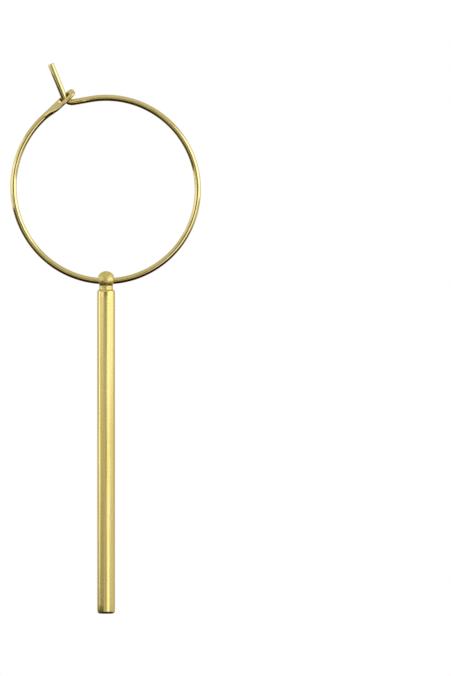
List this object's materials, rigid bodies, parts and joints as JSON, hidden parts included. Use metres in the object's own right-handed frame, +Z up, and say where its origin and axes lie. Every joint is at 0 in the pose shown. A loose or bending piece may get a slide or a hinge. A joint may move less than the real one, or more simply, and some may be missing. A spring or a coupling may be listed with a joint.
{
  "type": "bar drop hoop earring",
  "caption": "Wire hoop earring whose bent post locks through its pierced, flattened end, with a round bar that swings from its lowest point.",
  "frame": {"origin": "middle of the wire at the top of the hoop, where the jewel hangs", "axes": "+Z up, opposite to the hanging bar; the hoop lies in the XZ plane, with its clasp at -X; +Y is away from the viewer, through the hoop"},
  "size_m": [0.0213, 0.002, 0.0617],
  "materials": {
    "gold_wire": "bright gold plate over drawn wire, with faint die marks along it",
    "gold_bar": "gold plate over drawn rod, softly polished, with fine streaks along it and a grainier head"
  },
  "bodies": {
    "hoop": {"hoop_wire": "gold_wire"},
    "drop": {"bar_drop": "gold_bar"}
  },
  "joints": [
    {"name": "bar_swing", "type": "hinge", "parent": "hoop", "child": "drop", "pos_m": [0, 0, -0.02054], "axis": [1, 0, 0], "range_deg": [-174, 174]}
  ]
}
